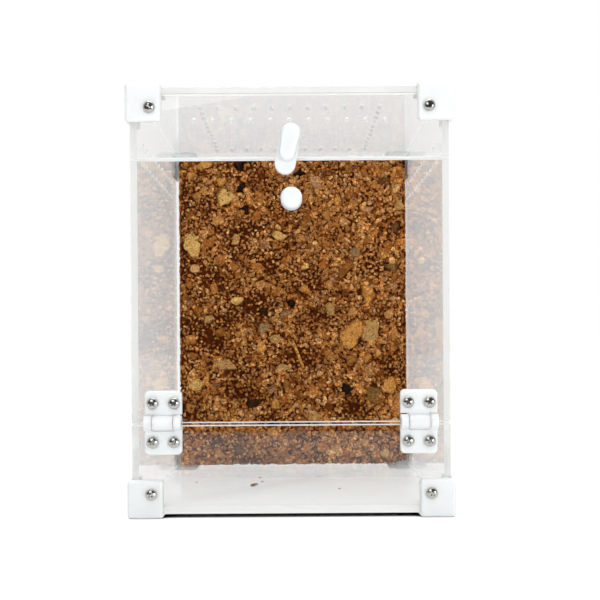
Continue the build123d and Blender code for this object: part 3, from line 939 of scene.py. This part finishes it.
    def colours(self, tone: np.ndarray, rng: np.random.Generator) -> np.ndarray:
        """Gives cork colours for tones from 0 to 1, each with a little more red, yellow or grey of its own.

        Args:
            tone: the tones.
            rng: the random numbers to draw from.

        Returns:
            One colour for each tone, in linear light.
        """
        table = np.array(self.tone_colours)
        colour = np.stack([np.interp(tone, self.tones, table[:, channel]) for channel in range(3)], 1)
        hue = rng.normal(0.0, 1.0, len(tone))
        colour *= (1.0 + hue[:, None] * np.array(self.hue_change)).clip(0.3)
        grey = np.where(rng.uniform(size=len(tone)) < self.grey_chance, self.grey_share, 0.0)[:, None]
        return colour * (1.0 - grey) + colour.mean(1, keepdims=True) * np.array(self.grey_tint) * grey

    def settle(self, chips: np.ndarray, face: BoardFace) -> tuple[np.ndarray, np.ndarray]:
        """Presses chips to their face and moves them from the face's own axes to the box's.

        Args:
            chips: the points, as chips by points by three: across, up and out, in metres.
            face: the face.

        Returns:
            The points in the box's axes, and how deep in the shade each is, from 0 to 1.
        """
        over = chips[:, :, 2] - face.limit
        pressed = face.limit + self.press * over * (face.limit > self.soft_limit)
        chips[:, :, 2] = np.where(over > 0.0, pressed, chips[:, :, 2])
        # painted shade for points that lie deep under the face
        depth = np.clip((self.shade_from - chips[:, :, 2]) / self.dark_depth, 0.0, 1.0)
        placed = chips @ face.axes().T + np.array(face.corner)
        low = self.low + np.array([self.side_room, self.front_room, self.bottom_room])
        high = self.high - np.array([self.side_room, self.rear_room, self.top_room])
        return np.clip(placed, low, high), depth

    def rim_depth(self, chips: np.ndarray) -> np.ndarray:
        """Tells how far each point lies down the side of its own chip, which sets the painted shade at its
        rim.

        Args:
            chips: the points, as chips by points by three, with the third coordinate out of the face.

        Returns:
            0 on a chip's top, rising to 1 at its foot.
        """
        height = chips[:, :, 2]
        top, foot = height.max(1, keepdims=True), height.min(1, keepdims=True)
        return np.clip(self.rim_slope * (top - height) / (top - foot) - self.rim_start, 0.0, 1.0)

    def core(self) -> bpy.types.Object:
        """Makes the board's core: a box with round edges whose points each sink by a random depth and get
        painted shade.

        Returns:
            The core.
        """
        rng = np.random.default_rng(self.core_seed)
        low = self.low + np.array([self.core_drop, self.core_drop, 0.0])
        high = self.high - np.array([self.core_drop, self.rear_drop, self.core_drop])
        half, middle = (high - low) / 2.0, (high + low) / 2.0
        shell, faces = box_shell(tuple(np.round(2.0 * half / self.core_cell).astype(int)))
        points = shell * half
        inner = np.clip(points, self.edge_radius - half, half - self.edge_radius)
        out = points - inner
        out /= np.maximum(np.linalg.norm(out, axis=1, keepdims=True), 1e-9)
        sink = rng.uniform(0.0, self.core_roughness, (len(points), 1))
        rear = out[:, 1] > 0.5
        sink[rear] *= self.core_rear_share
        points = inner + out * (self.edge_radius - sink) + middle
        past, normal = self.past_corner(points)
        points -= np.maximum(past + self.core_past_corner, 0.0)[:, None] * normal
        tone = np.where(rear, rng.normal(*self.core_rear_tone, len(points)), self.core_tone)
        # painted shade: the sunken core seen between chips is painted dark, its rear face less so
        traits = {
            "stain": self.colours(tone.clip(0.05, 0.95), rng),
            "depth": np.where(rear, self.core_rear_shade, self.core_shade),
            "pores": np.zeros(len(points)),
        }
        core = add_piece("cork_core", points, faces, self.finish, traits)
        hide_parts("cork_back")
        return core

    def strew(self, batch: ChipBatch) -> bpy.types.Object:
        """Strews one batch of chips over its faces.

        The chips stand on a grid of rows, each moved at random by up to about half a step. On the front,
        chips of a coarse batch are left out where the ground is fine.

        Args:
            batch: the chips.

        Returns:
            The piece that holds them all.
        """
        rng = np.random.default_rng(batch.seed)
        heaps = []
        for name in batch.faces:
            face, front, rear = self.faces()[name], name == "front", name == "rear"
            spacing = batch.spacing * (self.rear_spacing if rear else 1.0)
            columns, rows = max(1, round(face.width / spacing)), max(1, round(face.height / spacing))
            across, up = np.meshgrid(np.arange(columns) + 0.5, np.arange(rows) + 0.5, indexing="ij")
            spots = np.stack([across.ravel(), up.ravel()], 1)
            spots += rng.uniform(-self.jitter, self.jitter, (across.size, 2))
            spots *= np.array([face.width / columns, face.height / rows])
            ground = self.coarseness(spots) if front else np.ones(len(spots))
            keep = ground > batch.coarse + rng.normal(0.0, self.coarse_blur, len(spots))
            if front:
                keep &= ~self.under_lumps(spots)
            spots, ground = spots[keep], ground[keep]
            count = len(spots)
            size = rng.uniform(0.0, 1.0, count) ** self.small_bias
            size *= self.fine_size + (1.0 - self.fine_size) * ground
            size = batch.diameters[0] + size * (batch.diameters[1] - batch.diameters[0])
            size *= self.rear_size if rear else 1.0
            length, width = rng.uniform(*batch.stretch, count), np.ones(count)
            stretch = np.stack([length, width, rng.uniform(*batch.flatness, count)], 1)
            chips, one = cut_chips(count, batch.cuts, batch.planes, rng)
            chips *= (stretch * size[:, None])[:, None, :]
            spin, heading = rng.uniform(0.0, 2.0 * np.pi, (2, count))
            turned = turns(spin, heading, rng.normal(0.0, batch.lean / 2.0, count))
            chips = np.einsum("nij,npj->npi", turned, chips)
            chips += np.concatenate([spots, rng.uniform(*batch.level, (count, 1))], 1)[:, None, :]
            rim = self.rim_depth(chips)
            placed, depth = self.settle(chips, face)
            # painted shade down each chip's sides, weaker on the rear face
            depth = np.minimum(depth + self.rim_shade * (self.rear_rim_share if rear else 1.0) * rim, 1.0)
            middle = placed.mean(1)
            past, _ = self.past_corner(middle)
            kept = (past < self.chips_past_corner) & (middle[:, 2] - self.foot_share * size > self.low[2])
            clouds = waves(middle, self.tone_cloud, np.random.default_rng(self.tone_seed))
            tone = rng.normal(*batch.tone, count) + self.tone_cloud_share * clouds
            stain = self.colours(tone.clip(0.02, 0.98), rng)
            pores = rng.uniform(0.0, self.pore_share, count) ** 2
            heaps.append(Heap(placed[kept], one, stain[kept], depth[kept], pores[kept]))
        fields = ("points", "stain", "depth", "pores")
        points, stain, depth, pores = (
            np.concatenate([getattr(heap, field) for heap in heaps]) for field in fields
        )
        return Heap(points, heaps[0].faces, stain, depth, pores).piece(batch.piece, self.finish)

    @cached_property
    def row_lumps(self) -> np.ndarray:
        """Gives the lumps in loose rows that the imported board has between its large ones.

        The rows sway by sines and cosines of the row and column, and a lump is left out where a large one
        stands.

        Returns:
            A row for each lump: its place across and up, its width and height, in millimetres, and its turn.
        """
        span = self.extent[[0, 2]] / MM - 2.0 * self.row_margin
        columns, rows = np.round(span / self.row_step).astype(int)
        grid = np.meshgrid(np.arange(rows + 1), np.arange(columns + 1), indexing="ij")
        row, column = (line.ravel() for line in grid)
        x = self.row_margin + span[0] * column / columns + self.row_sway * np.sin(2.4 * row + 1.7 * column)
        z = self.row_margin + span[1] * row / rows + self.row_sway * np.cos(1.9 * row - 2.3 * column)
        size, change = self.row_size
        found = np.stack([
            x,
            z,
            size + change * np.sin(3.1 * row + 1.3 * column),
            size + change * np.cos(2.2 * row + 2.9 * column),
            37.0 * (row + 3 * column) % 180.0,
        ], 1)
        large = np.array([(lump.x, lump.z, max(lump.wide, lump.high)) for lump in self.lumps])
        apart = np.hypot(x[:, None] - large[:, 0], z[:, None] - large[:, 1])
        return found[(apart >= large[:, 2] / 2.0 + self.row_clearance).all(1)]

    def under_lumps(self, spots: np.ndarray) -> np.ndarray:
        """Tells which points of the front lie under a lump, inside an ellipse a little smaller than the lump.

        Args:
            spots: the points, two numbers each from the lower left corner, in metres.

        Returns:
            True for each point that a lump covers.
        """
        large = np.array([(lump.x, lump.z, lump.wide, lump.high, lump.turn) for lump in self.lumps])
        lumps = np.concatenate([large, self.row_lumps])
        turn = np.radians(lumps[:, 4])
        away = spots[:, None, :] / MM - lumps[None, :, :2]
        along = away[..., 0] * np.cos(turn) + away[..., 1] * np.sin(turn)
        beside = away[..., 1] * np.cos(turn) - away[..., 0] * np.sin(turn)
        return (np.hypot(along / lumps[:, 2], beside / lumps[:, 3]) < 0.5 * self.lump_cover).any(1)

    def single_lumps(self) -> bpy.types.Object:
        """Makes the large lumps and those in rows, with pits where a smooth random value is high.

        Returns:
            The piece that holds them all.
        """
        rng = np.random.default_rng(self.lump_seed)
        rows = self.row_lumps
        places = np.concatenate([[(lump.x, lump.z) for lump in self.lumps], rows[:, :2]]) * MM
        sizes = np.concatenate([[(lump.wide, lump.high) for lump in self.lumps], rows[:, 2:4]]) * MM
        spin = np.radians(np.concatenate([[lump.turn for lump in self.lumps], rows[:, 4]]))
        pits = np.concatenate([[lump.pits for lump in self.lumps], rng.uniform(*self.row_pits, len(rows))])
        proud = np.concatenate([[lump.proud for lump in self.lumps], rng.uniform(*self.row_proud, len(rows))])
        proud *= MM
        row_stain = self.colours(rng.normal(*self.row_tone, len(rows)).clip(0.1, 0.95), rng)
        stain = np.concatenate([[lump.stain.value for lump in self.lumps], row_stain])
        count = len(places)
        thick = 2.0 * (proud + self.lump_root)
        chips, one = cut_chips(count, self.lump_cuts, self.lump_planes, rng)
        chips *= np.concatenate([sizes, thick[:, None]], 1)[:, None, :]
        swell = waves(chips.reshape(-1, 3), self.lump_wave, rng).reshape(count, -1)
        spread = self.lump_wave_share * sizes.min(1)[:, None] * swell
        chips *= 1.0 + (spread / np.maximum(np.linalg.norm(chips, axis=2), 1e-6))[:, :, None].clip(-0.3, 0.3)
        chips = np.einsum("nij,npj->npi", turns(spin, np.zeros(count), np.zeros(count)), chips)
        chips[:, :, 2] += (proud - chips[:, :, 2].max(1))[:, None]
        chips[:, :, :2] += places[:, None, :]
        holes = waves(chips.reshape(-1, 3), self.pit_length, rng).reshape(count, -1)
        rare, change = self.pit_start
        sunk = np.clip((holes - (rare - change * pits[:, None])) * self.pit_slope, 0.0, 1.0)
        sunk *= pits[:, None] > self.least_pits
        chips[:, :, 2] -= sunk * self.pit_depth
        face = replace(self.faces()["front"], limit=self.lump_limit)
        rim = self.rim_depth(chips)
        placed, depth = self.settle(chips, face)
        # painted shade down the lumps' sides and in their pits
        depth = np.maximum(np.minimum(depth + self.lump_rim_shade * rim, 1.0), sunk * self.pit_shade)
        least, more = self.lump_pores
        return Heap(placed, one, stain, depth, least + more * pits).piece("cork_lumps", self.finish)

    def loose_crumbs(self) -> bpy.types.Object:
        """Makes the crumbs that lie on the box's base.

        Returns:
            The piece that holds them all.
        """
        rng = np.random.default_rng(self.loose_seed)
        places = np.array([crumb[:2] for crumb in self.loose]) * MM
        sizes = np.array([crumb[2] for crumb in self.loose]) * MM
        count = len(places)
        chips, one = cut_chips(count, self.loose_cuts, self.loose_planes, rng)
        chips *= sizes[:, None, None] * np.array(self.loose_form)
        spin = rng.uniform(0.0, self.loose_spin, count)
        chips = np.einsum("nij,npj->npi", turns(spin, np.zeros(count), np.zeros(count)), chips)
        chips[:, :, 2] += (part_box("base_panel")[1][2] - chips[:, :, 2].min(1))[:, None]
        chips[:, :, :2] += places[:, None, :]
        stain = np.tile(Stain.RED.value, (count, 1)) * rng.uniform(0.5, 1.0, (count, 1))
        heap = Heap(chips, one, stain, np.zeros(chips.shape[:2]), np.zeros(count))
        return heap.piece("loose_crumbs", self.finish)

    def build(self) -> None:
        """Builds all of the board's pieces and lets them ride on the box."""
        strewn = [self.strew(batch) for batch in self.batches]
        for piece in (self.core(), *strewn, self.single_lumps(), self.loose_crumbs()):
            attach(piece, "box")
            LOG.info("built %s with %d faces", piece.name, len(piece.data.polygons))


class ClearBox:
    """The clear sheets: the fixed box and the door."""

    sides = ClearSheet(across=Across.WIDTH, bending=1.20)
    fronts = ClearSheet(across=Across.DEPTH)
    lower_front = ClearSheet(across=Across.DEPTH, veil=(0.038, 0.038), veil_fade=(40.1 * MM, 40.5 * MM))
    top = ClearSheet(
        across=Across.HEIGHT,
        bending=1.14,
        veil=(0.08, 0.08),
        arris=(0.06 * MM, 0.02 * MM),
        seam=(199.10 * MM, 199.25 * MM),
    )
    base = ClearSheet(across=Across.HEIGHT, bending=1.12, veil=(0.60, 0.0))
    panels = (
        (sides, ("left_side_panel", "right_side_panel")),
        (fronts, ("rear_panel", "upper_front_panel", "door_panel")),
        (lower_front, ("lower_front_panel",)),
        (top, ("top_panel",)),
        (base, ("base_panel",)),
    )

    def dress(self) -> None:
        """Gives every panel a clear sheet that knows where the panel's own borders are."""
        for finish, panels in self.panels:
            for panel in panels:
                low, high = (np.array(corner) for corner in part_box(panel))
                half = (high - low) / 2.0 + np.array(finish.across.value)
                middle = tuple((low + high) / 2.0)
                own = replace(finish, name=f"clear_{panel}", middle=middle, half=tuple(half))
                dress((panel,), own)


class WhiteFittings:
    """The moulded parts: eight corner brackets, two hinges, the turn latch and the door's knob."""

    plain = WhiteMoulding()
    lit_through = WhiteMoulding(name="white_moulding_rear", let_through=(0.90, 0.35))

    def names(self) -> list[str]:
        """Gives the names of the moulded parts."""
        brackets = [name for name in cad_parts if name.startswith("bracket_")]
        leaves = [f"{side}_hinge_{leaf}_leaf" for side in ("left", "right") for leaf in ("door", "fixed")]
        return [*brackets, *leaves, "latch_lever", "latch_spacer", "door_knob"]

    def dress(self) -> None:
        """Gives every moulded part the white plastic. Level faces of the rear brackets let light through."""
        rear = [name for name in self.names() if name.startswith("bracket_rear_")]
        others = [name for name in self.names() if name not in rear]
        dress(others, self.plain)
        dress(rear, self.lit_through)


class Fasteners:
    """The steel parts: screws, nuts, washers and hinge pins."""

    def names(self) -> list[str]:
        """Gives the names of the steel parts."""
        words = ("screw", "nut", "washer", "pin")
        return [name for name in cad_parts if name.rstrip("s").endswith(words)]

    def dress(self) -> None:
        """Gives every steel part the screws' steel."""
        dress(self.names(), ScrewSteel())


@dataclass(frozen=True)
class Lamp:
    """A soft square lamp: name, place, the point that it faces, side, power in watts and roll in degrees."""

    name: str
    place: Place
    aim: Place
    side: float
    power: float
    roll: float = 0.0

    def make(self) -> None:
        """Makes the lamp."""
        light = bpy.data.lights.new(self.name, "AREA")
        light.shape = "SQUARE"
        light.size = self.side
        light.energy = self.power
        lamp = bpy.data.objects.new(self.name, light)
        lamp.location = self.place
        aimed = (Vector(self.aim) - Vector(self.place)).to_track_quat("-Z", "Y")
        lamp.rotation_euler = (aimed @ Quaternion((0.0, 0.0, 1.0), math.radians(self.roll))).to_euler()
        bpy.context.scene.collection.objects.link(lamp)


class Studio:
    """A white studio: floor, soft lamps, white surroundings and the camera."""

    floor_side = 8.0
    aim = (0.0, 0.0, 0.1)
    lamps = (
        Lamp("key_lamp", (-0.36, -1.0, 0.72), aim, 0.6, 2.4, 14.0),
        Lamp("fill_lamp", (0.7, -0.9, 0.02), aim, 0.5, 6.4),
        Lamp("top_lamp", (0.0, 0.05, 1.05), aim, 0.7, 4.2),
    )
    camera_place = (2.96 * MM, -471.95 * MM, 83.5 * MM)
    camera_lens = 51.06
    camera_shift = (0.00500, 0.0658)
    camera_roll = 0.374
    camera_sensor = 36.0
    camera_near = 10.0 * MM
    bounces = 24
    glossy_bounces = 12
    mirrored_along = (-0.6, 0.1)
    lit_along = (-0.2, 1.0)
    lit_beside = (0.25, 0.72)
    front_light = 0.88
    rear_light = 2.20
    side_light = 0.12
    dim_side = 0.04
    white = (1.0, 1.0, 1.0, 1.0)

    def make_floor(self) -> None:
        """Makes the floor: one square at the height of zero."""
        half = self.floor_side / 2.0
        points = half * np.array([(-1.0, -1.0, 0.0), (1.0, -1.0, 0.0), (1.0, 1.0, 0.0), (-1.0, 1.0, 0.0)])
        floor = add_piece("floor", points, np.array([[0, 1, 2, 3]]), WhiteFloor())

    def make_surroundings(self) -> None:
        """Makes the surroundings: white where they are seen, dark where gloss mirrors the room's front."""
        world = bpy.data.worlds.new("studio")
        world.use_nodes = True
        bpy.context.scene.world = world
        graph = NodeGraph(world.node_tree)
        way = graph.parts(graph.add("ShaderNodeTexCoord").outputs["Generated"])
        rays = graph.rays()
        mirrored = graph.span(way["Y"], self.mirrored_along, (self.dim_side, 1.0))
        mirrored = graph.span(rays["Glossy Depth"], (0.0, 1.0), (1.0, mirrored))
        along = graph.span(way["Y"], self.lit_along, (self.front_light, self.rear_light))
        beside = graph.span(graph.math("ABSOLUTE", way["X"]), self.lit_beside, (1.0, self.side_light))
        lit = graph.math("MULTIPLY", along, beside)
        seen, sheen, level = (
            graph.add("ShaderNodeBackground", {"Color": self.white, "Strength": strength}).outputs[0]
            for strength in (1.0, mirrored, lit)
        )
        around = graph.mix_shaders(graph.bent(rays), level, sheen)
        graph.output(graph.mix_shaders(rays["Is Camera Ray"], around, seen), "ShaderNodeOutputWorld")

    def make_camera(self) -> None:
        """Makes the camera at the photograph's place and angle."""
        data = bpy.data.cameras.new("camera")
        data.lens = self.camera_lens
        data.sensor_width = self.camera_sensor
        data.shift_x, data.shift_y = self.camera_shift
        data.clip_start = self.camera_near
        camera = bpy.data.objects.new("camera", data)
        camera.location = self.camera_place
        camera.rotation_euler = (math.radians(90.0), math.radians(self.camera_roll), 0.0)
        bpy.context.scene.collection.objects.link(camera)
        bpy.context.scene.camera = camera

    def build(self) -> None:
        """Builds the studio and sets how light is followed through the sheets."""
        self.make_floor()
        self.make_surroundings()
        for lamp in self.lamps:
            lamp.make()
        self.make_camera()
        scene = bpy.context.scene
        scene.view_settings.view_transform = "Standard"
        scene.cycles.max_bounces = self.bounces
        scene.cycles.transmission_bounces = self.bounces
        scene.cycles.glossy_bounces = self.glossy_bounces
        scene.cycles.transparent_max_bounces = self.bounces


def main() -> None:
    """Builds the studio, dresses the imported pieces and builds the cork."""
    logging.basicConfig(level=logging.INFO, format="%(name)s: %(message)s")
    Studio().build()
    ClearBox().dress()
    WhiteFittings().dress()
    Fasteners().dress()
    CorkBoard().build()


if __name__ == "__main__":
    main()
